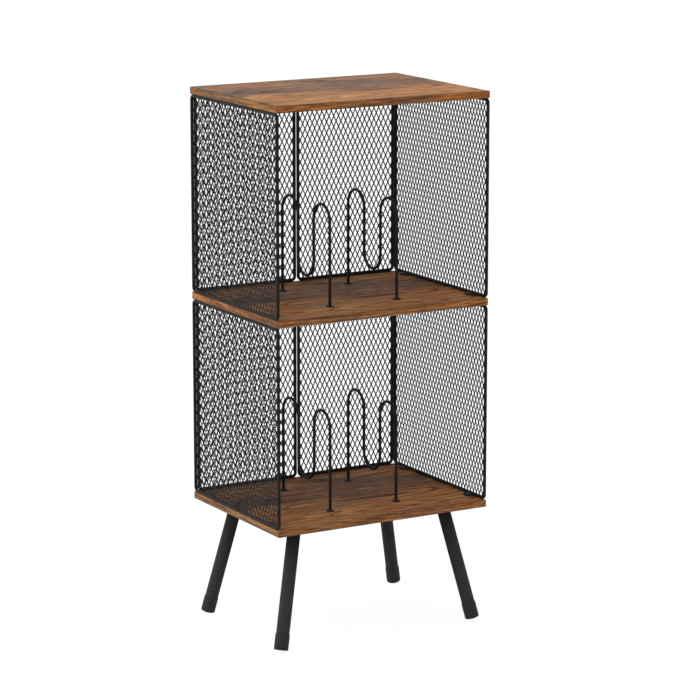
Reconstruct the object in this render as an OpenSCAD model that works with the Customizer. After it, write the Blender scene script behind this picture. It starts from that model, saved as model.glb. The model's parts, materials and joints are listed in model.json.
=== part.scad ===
// Record storage stand: three boards, two tiers of mesh panels in wire frames,
// four bent wire dividers and four splayed legs.
// Millimetres. X runs to the right, the open front faces -Y and Z is up.
// The origin is on the floor, under the middle of the boards.

/* [Boards] */
// Width of the boards, left to right
board_w = 400; // [340:5:520]
// Depth of the boards, front to back
board_d = 300; // [260:5:400]
// Thickness of each board
board_t = 12; // [12:1:24]
// Clear height of a tier, from one board to the next
tier_h = 335; // [260:5:400]

/* [Panel frames] */
// Diameter of the wire that frames a panel
wire_d = 5.5; // [4:0.5:7]
// Radius of a frame's corners, at the middle of the wire
corner_r = 6; // [5:0.5:20]
// Gap between the two back panels
mid_gap = 1.6; // [1:0.2:8]
// Gap between a back panel and the side panel beside it
side_gap = 0.8; // [0.4:0.2:6]
// How far a side panel's wire stands out past the side edges of the boards
side_out = 0.8; // [0:0.1:2]

/* [Mesh] */
// Width of a diamond. The pressed sheet has one more strand between each two drawn here
diamond_w = 18.8; // [14:0.2:30]
// Height of a diamond
diamond_h = 37.6; // [28:0.4:60]
// Width of a strand
strand_w = 1.5; // [1:0.1:3]
// Width of the flat edge round the mesh
mesh_edge = 1; // [0.5:0.1:3]
// Thickness of the mesh
mesh_t = 0.8; // [0.5:0.1:2]

/* [Tabs and pins] */
// Radius of a half-round tab on a side panel, from the middle of the wire
tab_r = 14; // [13:0.5:20]
// Thickness of a tab
tab_t = 2; // [1:0.5:3]
// From the front or back edge of the boards to the middle of a tab
tab_inset = 43; // [25:1:80]
// From the middle of the wire to a tab's screw
tab_screw_in = 8; // [7.5:0.5:9]
// Diameter of a pin under or over a back panel
pin_d = 4; // [3:0.5:5]
// How far a pin goes into a board
pin_bite = 5; // [3:0.5:5]
// From the side of a back panel to the middle of its pin
pin_inset = 35; // [20:1:60]

/* [Dividers] */
// Diameter of the divider wire
divider_d = 5; // [4:0.5:6]
// Distance between the two dividers of a tier
divider_gap = 128; // [90:1:180]
// Radius of a divider's three bends, at the middle of its wire
divider_bend_r = 26.8; // [20:0.1:33]
// Height of a divider above its board
divider_h = 169; // [120:1:220]
// Height of the middle bend above the board
divider_rise = 37; // [15:1:60]
// Diameter of the round flange on a divider's foot
flange_d = 14; // [10:0.5:18]
// Thickness of that flange
flange_t = 1.5; // [1:0.5:3]

/* [Legs] */
// Height from the floor to the underside of the bottom board
leg_h = 200; // [150:1:260]
// Lean of a leg from upright, in degrees
leg_splay = 15; // [5:1:18]
// Turn of that lean, from straight sideways, in degrees
leg_toe = 35; // [0:1:60]
// From the side edge of the board to the top of a leg's axis
leg_inset_x = 57; // [52:1:80]
// From the front or back edge of the board to the top of a leg's axis
leg_inset_y = 50; // [48:1:80]
// Outer diameter of a leg's tube
tube_d = 22.4; // [18:0.1:25]
// Wall of that tube
tube_wall = 1.2; // [1:0.1:2]
// Side of a leg's square plate
plate_w = 58; // [56:1:70]
// Thickness of the plate
plate_t = 3; // [2:0.5:5]
// From the edge of the plate to its screws
plate_screw_in = 8; // [7:0.5:9]
// Diameter of the foot cap
cap_d = 24.2; // [19.5:0.1:30]
// Length of the foot cap
cap_len = 26.5; // [18:0.5:45]
// Thickness of the cap's floor
cap_floor = 5; // [3:0.5:8]
// Rounding of the cap's lower edge
cap_round = 1.5; // [0.5:0.1:3]

/* [Fasteners] */
// Diameter of a screw's shank
screw_d = 4; // [3:0.5:4.5]
// Diameter of a screw's head
head_d = 7.5; // [6:0.5:9]
// Height of a screw's head
head_h = 2.4; // [1.5:0.1:3]
// How far a screw goes into a board
screw_bite = 8; // [5:0.5:10]
// Width of a tab nut across its flats
tab_nut_w = 7; // [6.5:0.5:9]
// Height of a tab nut
tab_nut_h = 3.2; // [2:0.2:5]
// Width of a divider nut across its flats
divider_nut_w = 8; // [8:0.5:11]
// Height of a divider nut
divider_nut_h = 4; // [3:0.2:6]
// Diameter of a divider washer
washer_d = 12; // [10:0.5:16]
// Thickness of a divider washer
washer_t = 1; // [0.6:0.1:2]

/* [Clearances] */
// Room round a screw, bolt or stud in a through hole
hole_room = 0.2; // [0.1:0.05:0.4]
// Room past the end of a screw or pin in a blind hole
end_room = 0.5; // [0.2:0.1:0.8]
// Room between a leg's tube and the inside of its cap
cap_room = 0.1; // [0.05:0.05:0.3]
// Length of a bolt or stud past its nut
thread_past_nut = 1; // [0.5:0.5:3]

/* [Hidden] */
$fn = 48;

// How far a tool cuts past a face that it opens
cut = 1;
// The least depth that a mesh opening shows at the edge of a panel
least_tip = 3;
// The least rounding inside the mesh's flat edge, where that edge is as wide as the corner
least_round = 0.2;

WOOD = [0.56, 0.37, 0.24];
BLACK_METAL = [0.10, 0.10, 0.11];
BLACK_MESH = [0.16, 0.16, 0.17];
BLACK_ZINC = [0.20, 0.20, 0.21];
BLACK_PLASTIC = [0.05, 0.05, 0.05];

half_w = board_w / 2;
half_d = board_d / 2;

// Heights of the surfaces that the tiers stand on and hang from
lower_floor = leg_h + board_t;
tier_pitch = tier_h + board_t;
upper_floor = lower_floor + tier_pitch;
upper_ceiling = upper_floor + tier_h;
lower_ceiling = lower_floor + tier_h;

// Panels, between the boards. side_x is the middle of a side panel's wire, and the
// back panels are flush with the boards' back edges
wire_in = wire_d / 2;
side_x = half_w + side_out - wire_in;
back_w = side_x - wire_in - side_gap - mid_gap / 2;
back_x = mid_gap / 2 + back_w / 2;
tab_weld_in = wire_d * 0.3;
hole_d = screw_d + 2 * hole_room;

// Dividers: three half-round bends join four uprights
inner_upright_y = divider_bend_r;
outer_upright_y = 3 * divider_bend_r;
hump_z = divider_h - divider_d / 2 - divider_bend_r;
dip_z = divider_rise + divider_d / 2 + divider_bend_r;
stud_len = board_t + washer_t + divider_nut_h + thread_past_nut;

// Legs: length of the axis from the board down to the tilted end of the cap,
// whose lowest rim touches the floor
leg_len = cap_round + (leg_h - cap_round
    - (cap_d / 2 - cap_round) * sin(leg_splay)) / cos(leg_splay);
tube_len = leg_len - cap_floor;

// Where each kind of fastener stands, seen from above
tab_spots = [for (sx = [-1, 1], sy = [-1, 1])
    [sx * (side_x - tab_screw_in), sy * (half_d - tab_inset)]];
pin_spots = [for (sx = [-1, 1], end = [-1, 1])
    [sx * back_x + end * (back_w / 2 - pin_inset), half_d - wire_in]];
stud_spots = [for (sx = [-1, 1], sy = [-1, 1])
    [sx * divider_gap / 2, sy * outer_upright_y]];
plate_spots = [for (ex = [-1, 1], ey = [-1, 1])
    [ex * (plate_w / 2 - plate_screw_in), ey * (plate_w / 2 - plate_screw_in)]];
leg_spots = [for (sx = [-1, 1], sy = [-1, 1])
    [sx * (half_w - leg_inset_x), sy * (half_d - leg_inset_y)]];

TIERS = [["lower", lower_floor], ["upper", upper_floor]];
SIDES = [["left", -1], ["right", 1]];
ENDS = [["front", -1], ["back", 1]];

// ---------------------------------------------------------------- helpers

module at_spots(spots, z) {
    for (spot = spots) translate([spot[0], spot[1], z]) children();
}

module plain_board(z) {
    translate([-half_w, -half_d, z]) cube([board_w, board_d, board_t]);
}

// A rectangle with round corners, round the origin
module round_rectangle(w, h, r) {
    square([w - 2 * r, h], center = true);
    square([w, h - 2 * r], center = true);
    for (sx = [-1, 1], sy = [-1, 1])
        translate([sx * (w / 2 - r), sy * (h / 2 - r)]) circle(r = r);
}

// Wire bent round the Y axis, from +X through the given angle towards +Z
module wire_bend(r, d, angle) {
    rotate([90, 0, 0]) mirror([0, 0, 1])
        rotate_extrude(angle = angle) translate([r, 0]) circle(d = d);
}

// A closed loop of wire in the XZ plane, w by h over its outside
module wire_loop(w, h) {
    mid_x = w / 2 - wire_in;
    mid_z = h / 2 - wire_in;
    for (s = [-1, 1]) {
        translate([s * mid_x, 0, 0])
            cylinder(d = wire_d, h = 2 * (mid_z - corner_r), center = true);
        translate([0, 0, s * mid_z]) rotate([0, 90, 0])
            cylinder(d = wire_d, h = 2 * (mid_x - corner_r), center = true);
    }
    for (quarter = [0 : 3]) {
        sx = (quarter == 0 || quarter == 3) ? 1 : -1;
        sz = quarter < 2 ? 1 : -1;
        translate([sx * (mid_x - corner_r), 0, sz * (mid_z - corner_r)])
            rotate([0, -90 * quarter, 0]) wire_bend(corner_r, wire_d, 90);
    }
}

// Diamond mesh in the XZ plane, which fills a wire loop of w by h
module mesh_sheet(w, h) {
    in_w = w - 2 * wire_d;
    in_h = h - 2 * wire_d;
    in_r = corner_r - wire_in;
    // Across its strands, a diamond is diamond_w * diamond_h / diagonal wide
    diagonal = norm([diamond_w, diamond_h]);
    open = 1 - strand_w * diagonal / (diamond_w * diamond_h);
    half_open_w = open * diamond_w / 2;
    half_open_h = open * diamond_h / 2;
    // An opening is cut where at least its tip shows inside the flat edge
    last_x = in_w / 2 - mesh_edge + half_open_w - least_tip;
    last_z = in_h / 2 - mesh_edge + half_open_h - least_tip;
    cols = floor(last_x / (diamond_w / 2));
    rows = floor(last_z / (diamond_h / 2));
    rotate([90, 0, 0]) linear_extrude(mesh_t, center = true) difference() {
        round_rectangle(in_w, in_h, in_r);
        intersection() {
            round_rectangle(in_w - 2 * mesh_edge, in_h - 2 * mesh_edge,
                            max(in_r - mesh_edge, least_round));
            for (i = [-cols : cols], j = [-rows : rows]) if ((i + j) % 2 == 0)
                translate([i * diamond_w / 2, j * diamond_h / 2])
                    polygon([[half_open_w, 0], [0, half_open_h], [-half_open_w, 0], [0, -half_open_h]]);
        }
    }
}

// Puts a panel of the XZ plane in a side of a tier: side is -1 left, 1 right
module in_side(side, floor_z) {
    translate([side * side_x, 0, floor_z + tier_h / 2])
        rotate([0, 0, 90]) children();
}

// Puts a panel of the XZ plane in the back of a tier
module in_back(side, floor_z) {
    translate([side * back_x, half_d - wire_in, floor_z + tier_h / 2]) children();
}

// A screw whose head stands on z = 0 and whose shank goes down by len
module screw(len) {
    slot_w = head_d / 6;
    slot_len = head_d * 0.6;
    difference() {
        cylinder(d = head_d, h = head_h);
        for (turn = [0, 90]) rotate([0, 0, turn])
            translate([-slot_len / 2, -slot_w / 2, head_h / 2])
                cube([slot_len, slot_w, head_h]);
    }
    translate([0, 0, -len]) cylinder(d = screw_d, h = len);
}

module nut(w, h, bore) {
    difference() {
        cylinder(d = w / cos(30), h = h, $fn = 6);
        translate([0, 0, -cut]) cylinder(d = bore, h = h + 2 * cut);
    }
}

module ring(d, bore, h) {
    difference() {
        cylinder(d = d, h = h);
        translate([0, 0, -cut]) cylinder(d = bore, h = h + 2 * cut);
    }
}

// Follows a leg's axis: local +Z runs down and outwards from the board's underside
module down_leg(side, end) {
    mirror([side < 0 ? 1 : 0, 0, 0]) mirror([0, end < 0 ? 1 : 0, 0])
        translate([half_w - leg_inset_x, half_d - leg_inset_y, leg_h])
            rotate([0, 180 - leg_splay, leg_toe]) children();
}

// ---------------------------------------------------------------- boards

module blind_holes_up(spots, z, d, depth) {
    at_spots(spots, z - cut) cylinder(d = d, h = depth + end_room + cut);
}

module blind_holes_down(spots, z, d, depth) {
    at_spots(spots, z - depth - end_room) cylinder(d = d, h = depth + end_room + cut);
}

module through_holes(spots, z, d) {
    at_spots(spots, z - cut) cylinder(d = d, h = board_t + 2 * cut);
}

module top_board() {
    color(WOOD) difference() {
        plain_board(upper_ceiling);
        blind_holes_up(tab_spots, upper_ceiling, screw_d, screw_bite);
        blind_holes_up(pin_spots, upper_ceiling, pin_d, pin_bite);
    }
}

module middle_board() {
    color(WOOD) difference() {
        plain_board(lower_ceiling);
        through_holes(tab_spots, lower_ceiling, hole_d);
        through_holes(stud_spots, lower_ceiling, divider_d + 2 * hole_room);
        blind_holes_up(pin_spots, lower_ceiling, pin_d, pin_bite);
        blind_holes_down(pin_spots, upper_floor, pin_d, pin_bite);
    }
}

module bottom_board() {
    color(WOOD) difference() {
        plain_board(leg_h);
        blind_holes_down(tab_spots, lower_floor, screw_d, screw_bite);
        blind_holes_down(pin_spots, lower_floor, pin_d, pin_bite);
        through_holes(stud_spots, leg_h, divider_d + 2 * hole_room);
        for (leg = leg_spots) translate([leg[0], leg[1], 0])
            blind_holes_up(plate_spots, leg_h, screw_d, screw_bite);
    }
}

// ---------------------------------------------------------------- panels

module side_frame(side, floor_z) {
    color(BLACK_METAL) in_side(side, floor_z) wire_loop(board_d, tier_h);
}

module side_mesh(side, floor_z) {
    color(BLACK_MESH) in_side(side, floor_z) mesh_sheet(board_d, tier_h);
}

// A half-round tab on z = 0 that reaches in along +X from a wire that lies along Y
module tab() {
    difference() {
        intersection() {
            cylinder(r = tab_r, h = tab_t);
            translate([tab_weld_in, -tab_r, 0]) cube([tab_r, 2 * tab_r, tab_t]);
        }
        translate([0, 0, wire_in]) rotate([90, 0, 0])
            cylinder(d = wire_d, h = 2 * tab_r + 2 * cut, center = true);
        translate([tab_screw_in, 0, -cut]) cylinder(d = hole_d, h = tab_t + 2 * cut);
    }
}

// The four tabs of a side panel: two on the board below, two under the board above
module side_tabs(side, floor_z) {
    color(BLACK_METAL) for (end = [-1, 1], up = [0, 1])
        translate([side * side_x, end * (half_d - tab_inset),
                   floor_z + up * tier_h])
            rotate([0, 0, side < 0 ? 0 : 180]) mirror([0, 0, up]) tab();
}

module back_frame(side, floor_z) {
    color(BLACK_METAL) in_back(side, floor_z) wire_loop(back_w, tier_h);
}

module back_mesh(side, floor_z) {
    color(BLACK_MESH) in_back(side, floor_z) mesh_sheet(back_w, tier_h);
}

// The four pins of a back panel, saddled on its lower and upper wires
module back_pins(side, floor_z) {
    color(BLACK_METAL) in_back(side, floor_z) for (end = [-1, 1], up = [-1, 1])
        translate([end * (back_w / 2 - pin_inset), 0, up * tier_h / 2])
            difference() {
                translate([0, 0, up < 0 ? -pin_bite : -wire_in])
                    cylinder(d = pin_d, h = pin_bite + wire_in);
                translate([0, 0, -up * wire_in]) rotate([0, 90, 0])
                    cylinder(d = wire_d, h = 2 * pin_d, center = true);
            }
}

// ---------------------------------------------------------------- dividers

module divider(side, floor_z) {
    color(BLACK_METAL) translate([side * divider_gap / 2, 0, floor_z])
        rotate([0, 0, 90]) {
            for (s = [-1, 1]) {
                translate([s * outer_upright_y, 0, -stud_len])
                    cylinder(d = divider_d, h = stud_len + hump_z);
                translate([s * inner_upright_y, 0, dip_z])
                    cylinder(d = divider_d, h = hump_z - dip_z);
                translate([s * 2 * divider_bend_r, 0, hump_z])
                    wire_bend(divider_bend_r, divider_d, 180);
            }
            translate([0, 0, dip_z]) rotate([0, 180, 0])
                wire_bend(divider_bend_r, divider_d, 180);
        }
}

module divider_flanges(floor_z) {
    color(BLACK_METAL) at_spots(stud_spots, floor_z) ring(flange_d, divider_d, flange_t);
}

module divider_washers(floor_z) {
    color(BLACK_ZINC) at_spots(stud_spots, floor_z - board_t - washer_t)
        ring(washer_d, divider_d + 2 * hole_room, washer_t);
}

module divider_nuts(floor_z) {
    color(BLACK_ZINC)
        at_spots(stud_spots, floor_z - board_t - washer_t - divider_nut_h)
            nut(divider_nut_w, divider_nut_h, divider_d);
}

// ---------------------------------------------------------------- tab fasteners

module top_tab_screws() {
    color(BLACK_ZINC) at_spots(tab_spots, upper_ceiling - tab_t)
        mirror([0, 0, 1]) screw(tab_t + screw_bite);
}

module middle_tab_bolts() {
    color(BLACK_ZINC) at_spots(tab_spots, upper_floor + tab_t)
        screw(2 * tab_t + board_t + tab_nut_h + thread_past_nut);
}

module middle_tab_nuts() {
    color(BLACK_ZINC) at_spots(tab_spots, lower_ceiling - tab_t - tab_nut_h)
        nut(tab_nut_w, tab_nut_h, screw_d);
}

module bottom_tab_screws() {
    color(BLACK_ZINC) at_spots(tab_spots, lower_floor + tab_t) screw(tab_t + screw_bite);
}

// ---------------------------------------------------------------- legs

module leg_plate(side, end) {
    plate_r = plate_screw_in;
    color(BLACK_METAL)
        translate([side * (half_w - leg_inset_x), end * (half_d - leg_inset_y),
                   leg_h - plate_t])
            difference() {
                linear_extrude(plate_t) round_rectangle(plate_w, plate_w, plate_r);
                at_spots(plate_spots, -cut) cylinder(d = hole_d, h = plate_t + 2 * cut);
            }
}

module leg_tube(side, end) {
    color(BLACK_METAL) difference() {
        down_leg(side, end) translate([0, 0, -tube_d]) difference() {
            cylinder(d = tube_d, h = tube_len + tube_d);
            translate([0, 0, -cut])
                cylinder(d = tube_d - 2 * tube_wall, h = tube_len + tube_d + 2 * cut);
        }
        translate([-half_w, -half_d, leg_h - plate_t]) cube([board_w, board_d, 2 * tube_d]);
    }
}

module leg_cap(side, end) {
    color(BLACK_PLASTIC) down_leg(side, end) translate([0, 0, leg_len]) mirror([0, 0, 1])
        difference() {
            rotate_extrude() {
                square([cap_d / 2 - cap_round, cap_round]);
                translate([0, cap_round]) square([cap_d / 2, cap_len - cap_round]);
                intersection() {
                    translate([cap_d / 2 - cap_round, cap_round]) circle(r = cap_round);
                    square(cap_d / 2);
                }
            }
            translate([0, 0, cap_floor])
                cylinder(d = tube_d + 2 * cap_room, h = cap_len - cap_floor + cut);
        }
}

module leg_screws() {
    color(BLACK_ZINC) for (leg = leg_spots) translate([leg[0], leg[1], 0])
        at_spots(plate_spots, leg_h - plate_t) mirror([0, 0, 1])
            screw(plate_t + screw_bite);
}

// ---------------------------------------------------------------- the stand

top_board();
middle_board();
bottom_board();

for (tier = TIERS) {
    tier_name = tier[0];
    floor_z = tier[1];
    for (side_row = SIDES) {
        panel = str(tier_name, "_", side_row[0]);
        back = str(tier_name, "_back_", side_row[0]);
        side = side_row[1];
        side_frame(side, floor_z);
        side_mesh(side, floor_z);
        side_tabs(side, floor_z);
        back_frame(side, floor_z);
        back_mesh(side, floor_z);
        back_pins(side, floor_z);
        divider(side, floor_z);
    }
    fitting = str(tier_name, "_divider_");
    divider_flanges(floor_z);
    divider_washers(floor_z);
    divider_nuts(floor_z);
}

top_tab_screws();
middle_tab_bolts();
middle_tab_nuts();
bottom_tab_screws();

for (end_row = ENDS, side_row = SIDES) {
    leg = str(end_row[0], "_", side_row[0], "_leg_");
    end = end_row[1];
    side = side_row[1];
    leg_plate(side, end);
    leg_tube(side, end);
    leg_cap(side, end);
}
leg_screws();
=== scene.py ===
# %% [markdown]
# # A record storage stand, dressed for its picture
#
# The stand is three boards of wood-look laminate, eight panels of black diamond mesh in wire
# frames, four bent wire dividers and four splayed tube legs with foot caps. The engineer's
# solids already fix every size and place. This notebook gives each piece the shape and the
# finish that the eye expects: bent wire, pressed mesh, rounded arrises, turned metal, and
# materials that are all made of nodes.

import json
import math

import bmesh
import bpy
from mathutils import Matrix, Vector

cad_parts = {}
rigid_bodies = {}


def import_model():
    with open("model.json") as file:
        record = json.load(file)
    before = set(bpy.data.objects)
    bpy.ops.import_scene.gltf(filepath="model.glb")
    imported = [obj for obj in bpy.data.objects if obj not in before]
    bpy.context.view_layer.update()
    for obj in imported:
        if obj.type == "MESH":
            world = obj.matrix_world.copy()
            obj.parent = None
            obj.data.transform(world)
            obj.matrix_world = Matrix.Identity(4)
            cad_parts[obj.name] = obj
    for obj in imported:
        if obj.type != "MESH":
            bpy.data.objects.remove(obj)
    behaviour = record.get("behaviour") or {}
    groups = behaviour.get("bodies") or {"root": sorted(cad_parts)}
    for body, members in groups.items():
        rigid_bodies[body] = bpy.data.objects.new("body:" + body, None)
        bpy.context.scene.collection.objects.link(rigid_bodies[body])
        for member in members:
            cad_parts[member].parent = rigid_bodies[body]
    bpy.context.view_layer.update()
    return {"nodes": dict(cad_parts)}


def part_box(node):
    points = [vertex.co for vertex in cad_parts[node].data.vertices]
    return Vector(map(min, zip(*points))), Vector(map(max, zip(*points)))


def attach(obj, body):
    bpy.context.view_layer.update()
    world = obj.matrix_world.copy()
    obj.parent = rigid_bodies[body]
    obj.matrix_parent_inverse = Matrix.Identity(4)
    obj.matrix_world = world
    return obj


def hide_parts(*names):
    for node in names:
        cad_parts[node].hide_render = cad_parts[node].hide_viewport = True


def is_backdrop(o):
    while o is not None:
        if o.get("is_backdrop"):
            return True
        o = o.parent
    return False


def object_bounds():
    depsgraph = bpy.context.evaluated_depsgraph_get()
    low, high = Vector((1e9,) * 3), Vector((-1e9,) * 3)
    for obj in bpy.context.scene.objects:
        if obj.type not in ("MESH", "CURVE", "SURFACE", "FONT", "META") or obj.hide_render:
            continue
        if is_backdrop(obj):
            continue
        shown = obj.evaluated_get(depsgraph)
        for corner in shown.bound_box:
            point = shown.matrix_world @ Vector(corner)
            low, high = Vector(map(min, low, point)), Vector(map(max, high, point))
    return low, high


MM = 0.001

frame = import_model()
nodes = frame["nodes"]

# %% [markdown]
# ## A tidy bench
#
# Blender's tools act on whatever is selected, and the loaded solids arrive selected. So each
# job starts by clearing the bench, and inside a piece the faces, edges or corners that a tool
# should touch are picked by where they are. That is what a hand does with the mouse, written
# down so that it comes out the same each time.

# %% Open a piece and pick parts of it
WELD = 0.01 * MM


def clear_bench():
    """Leaves edit mode, with nothing selected."""
    if bpy.context.object and bpy.context.object.mode != "OBJECT":
        bpy.ops.object.mode_set(mode="OBJECT")
    bpy.ops.object.select_all(action="DESELECT")


def hold(*pieces):
    """Selects these pieces alone. The first is the active one."""
    clear_bench()
    for piece in pieces:
        piece.select_set(True)
    bpy.context.view_layer.objects.active = pieces[0]


def open_up(piece):
    """Opens one piece in edit mode with nothing picked."""
    hold(piece)
    bpy.ops.object.mode_set(mode="EDIT")
    bpy.ops.mesh.select_all(action="DESELECT")


def middle(part):
    """The middle of a face, an edge or a corner of the open piece."""
    if isinstance(part, bmesh.types.BMVert):
        return part.co
    return sum((corner.co for corner in part.verts), Vector()) / len(part.verts)


def pick(kind, wanted):
    """Picks the FACE, EDGE or VERT parts of the open piece that pass a test."""
    bpy.ops.mesh.select_mode(type=kind)
    shape = bmesh.from_edit_mesh(bpy.context.object.data)
    parts = {"FACE": shape.faces, "EDGE": shape.edges, "VERT": shape.verts}[kind]
    for part in parts:
        part.select_set(wanted(part))
    bmesh.update_edit_mesh(bpy.context.object.data)


def pick_all():
    """Picks the whole open piece."""
    bpy.ops.mesh.select_all(action="SELECT")


def pick_rims():
    """Picks the open edges of the open piece."""
    pick("EDGE", lambda edge: edge.is_boundary)


def weld_open():
    """Merges the corners of the open piece that lie on each other."""
    pick_all()
    bpy.ops.mesh.remove_doubles(threshold=WELD)


def close_up():
    """Turns the faces of the open piece outwards and closes it."""
    pick_all()
    bpy.ops.mesh.normals_make_consistent(inside=False)
    clear_bench()


# %% Start, place, copy and join pieces
def started(name):
    """Names the primitive that was just added and puts its place into its mesh."""
    piece = bpy.context.object
    piece.name = piece.data.name = name
    hold(piece)
    bpy.ops.object.transform_apply(location=True, rotation=True, scale=True)
    return piece


def put(piece, place=(0, 0, 0), turn=(0, 0, 0)):
    """Turns a piece, moves it and puts both into its mesh."""
    piece.location = place
    piece.rotation_euler = turn
    hold(piece)
    bpy.ops.object.transform_apply(location=True, rotation=True, scale=True)
    return piece


def copy_of(piece, name):
    """A copy with a mesh of its own."""
    twin = piece.copy()
    twin.data = piece.data.copy()
    twin.name = twin.data.name = name
    bpy.context.scene.collection.objects.link(twin)
    return twin


def joined(name, pieces):
    """Makes one piece of several."""
    hold(*pieces)
    bpy.ops.object.join()
    piece = bpy.context.object
    piece.name = piece.data.name = name
    return piece


def work(piece, kind, **settings):
    """Gives a piece one modifier and applies it."""
    hold(piece)
    modifier = piece.modifiers.new(kind.title(), kind)
    for setting, value in settings.items():
        setattr(modifier, setting, value)
    bpy.ops.object.modifier_apply(modifier=modifier.name)


def scrap(*pieces):
    """Throws away patterns and cutters that have done their work."""
    for piece in pieces:
        bpy.data.objects.remove(piece)


# %% [markdown]
# ## Where the small parts stand
#
# Screws, nuts, washers and tabs come in groups, with one name for the whole group. To put a
# detailed screw on each plain one, the group's mesh is merged and split into its separate
# solids, and the box round each solid says where it stands.


# %% Find each solid of a group
def solids_of(node):
    """The lowest and highest corner of each separate solid in a node."""
    shape = bmesh.new()
    shape.from_mesh(nodes[node].data)
    bmesh.ops.remove_doubles(shape, verts=shape.verts, dist=WELD)
    waiting = set(shape.verts)
    boxes = []
    while waiting:
        front = [waiting.pop()]
        low = front[0].co.copy()
        high = front[0].co.copy()
        while front:
            corner = front.pop()
            low = Vector(map(min, low, corner.co))
            high = Vector(map(max, high, corner.co))
            found = {edge.other_vert(corner) for edge in corner.link_edges} & waiting
            waiting -= found
            front += found
        boxes.append((low, high))
    shape.free()
    return sorted(boxes, key=lambda box: tuple(box[0]))


print("tabs on a side panel:", len(solids_of("upper_left_tabs")))
print("screws in the legs' plates:", len(solids_of("leg_screws")))

# %% [markdown]
# ## Shader arithmetic in plain Python
#
# A procedural finish is a long sum of noises, ramps and masks. Wired by hand it is a wall of
# Math nodes. Here one small class wraps a socket, so that `1 - mask * 0.4` adds the nodes by
# itself, and one method adds any other node with its settings and its sockets.


# %% Finishes made of nodes
class Signal:
    """The output of a shader node. Arithmetic on it adds Math nodes."""

    def __init__(self, finish, socket):
        self.finish = finish
        self.socket = socket

    def __add__(self, other):
        return self.finish.maths("ADD", self, other)

    def __sub__(self, other):
        return self.finish.maths("SUBTRACT", self, other)

    def __rsub__(self, other):
        return self.finish.maths("SUBTRACT", other, self)

    def __mul__(self, other):
        return self.finish.maths("MULTIPLY", self, other)

    __radd__ = __add__
    __rmul__ = __mul__


class Finish:
    """The nodes of a new material, or of the world, under construction."""

    def __init__(self, name, owners=bpy.data.materials):
        self.owner = owners.new(name)
        self.owner.use_nodes = True
        self.tree = self.owner.node_tree
        self.tree.nodes.clear()

    def node(self, kind, settings=None, sockets=None, output=0):
        """Adds a node, sets it, then fills or links its sockets."""
        node = self.tree.nodes.new("ShaderNode" + kind)
        for name, value in (settings or {}).items():
            if name == "stops":
                self.set_stops(node.color_ramp, value)
            else:
                setattr(node, name, value)
        for name, value in (sockets or {}).items():
            if isinstance(value, Signal):
                self.tree.links.new(value.socket, node.inputs[name])
            else:
                node.inputs[name].default_value = value
        return Signal(self, node.outputs[output])

    @staticmethod
    def set_stops(ramp, stops):
        """Fills a ramp from (place, value) pairs, where a value is a colour or a grey."""
        while len(ramp.elements) < len(stops):
            ramp.elements.new(1.0)
        for element, (place, value) in zip(ramp.elements, stops):
            element.position = place
            element.color = value if isinstance(value, tuple) else (value, value, value, 1)

    def placed(self):
        """The place of a point in the piece's own coordinates, in metres."""
        return self.node("TexCoord", output="Object")

    def maths(self, operation, first, second=0.0):
        return self.node("Math", {"operation": operation}, {0: first, 1: second})

    def ramp(self, stops, factor):
        return self.node("ValToRGB", {"stops": stops}, {"Fac": factor})

    def mixed(self, share, first, second, blend="MIX"):
        """Mixes two colours."""
        settings = {"data_type": "RGBA", "blend_type": blend}
        return self.node("Mix", settings, {0: share, 6: first, 7: second}, output=2)

    def noise(self, place, scales, detail=2.0, roughness=0.5):
        """Noise round 0.5 at a place, with a scale along each axis, in repeats per metre."""
        scaled = self.node("VectorMath", {"operation": "MULTIPLY"}, {0: place, 1: scales})
        sockets = {"Vector": scaled, "Scale": 1.0, "Detail": detail, "Roughness": roughness}
        return self.node("TexNoise", {"noise_dimensions": "3D"}, sockets)

    def bump(self, height, depth, strength=1.0):
        """A relief: height runs from 0 to 1, and depth is its size in metres."""
        sockets = {"Height": height, "Distance": depth, "Strength": strength}
        return self.node("Bump", {}, sockets)

    def done(self, **sockets):
        """Ends the finish in one shader. Underscores in a socket's name stand for spaces."""
        named = {name.replace("_", " "): value for name, value in sockets.items()}
        return self.ended(self.node("BsdfPrincipled", {}, named))

    def ended(self, shader, output="OutputMaterial"):
        """Links the last shader to the output, and gives the material or the world."""
        end = self.tree.nodes.new("ShaderNode" + output)
        self.tree.links.new(shader.socket, end.inputs["Surface"])
        return self.owner


def srgb(red, green, blue):
    """A colour as it is read off a picture, from 0 to 255, made linear for a shader."""
    def linear(value):
        value /= 255
        return value / 12.92 if value <= 0.04045 else ((value + 0.055) / 1.055) ** 2.4

    return (linear(red), linear(green), linear(blue), 1.0)


# %% [markdown]
# ## Wood-look laminate
#
# The boards are chipboard under a printed paper of old, brown-stained oak, sealed with a
# semi-gloss resin. The same print lies on every board: golden at the front, with a belt of
# grey-brown clouds behind the middle. On top of that come soft streaks, cool and warm
# blushes, growth lines that close in arches, and hair-fine fibres. All of it is noise that is
# stretched along the grain. The growth lines are the height lines of one slow noise, and a
# second, finer set of them fades out towards the back.
#
# A print is flat, so the pattern is flat too. A Mapping node lays it on the faces, or stands
# it up on the long and the short edges, and drops the third direction. Its stretch packs the
# grain of the narrow edges closer, and its place takes them from another part of the print.

# %% How the print lies
QUARTER = math.radians(90)
ON_FACES = {"Scale": (1, 1, 0)}
ON_LONG_EDGES = {
    "Scale": (1.2, 0, 2.4),
    "Rotation": (-QUARTER, 0, 0),
    "Location": (0.37, 0.0956, 0.3),
}
ON_SHORT_EDGES = {
    "Scale": (0, 1.2, 2.4),
    "Rotation": (-QUARTER, -QUARTER, 0),
    "Location": (0.2, 0.3856, 0.6),
}
for lay in (ON_FACES, ON_LONG_EDGES, ON_SHORT_EDGES):
    print("the print is stretched by", lay["Scale"])

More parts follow.
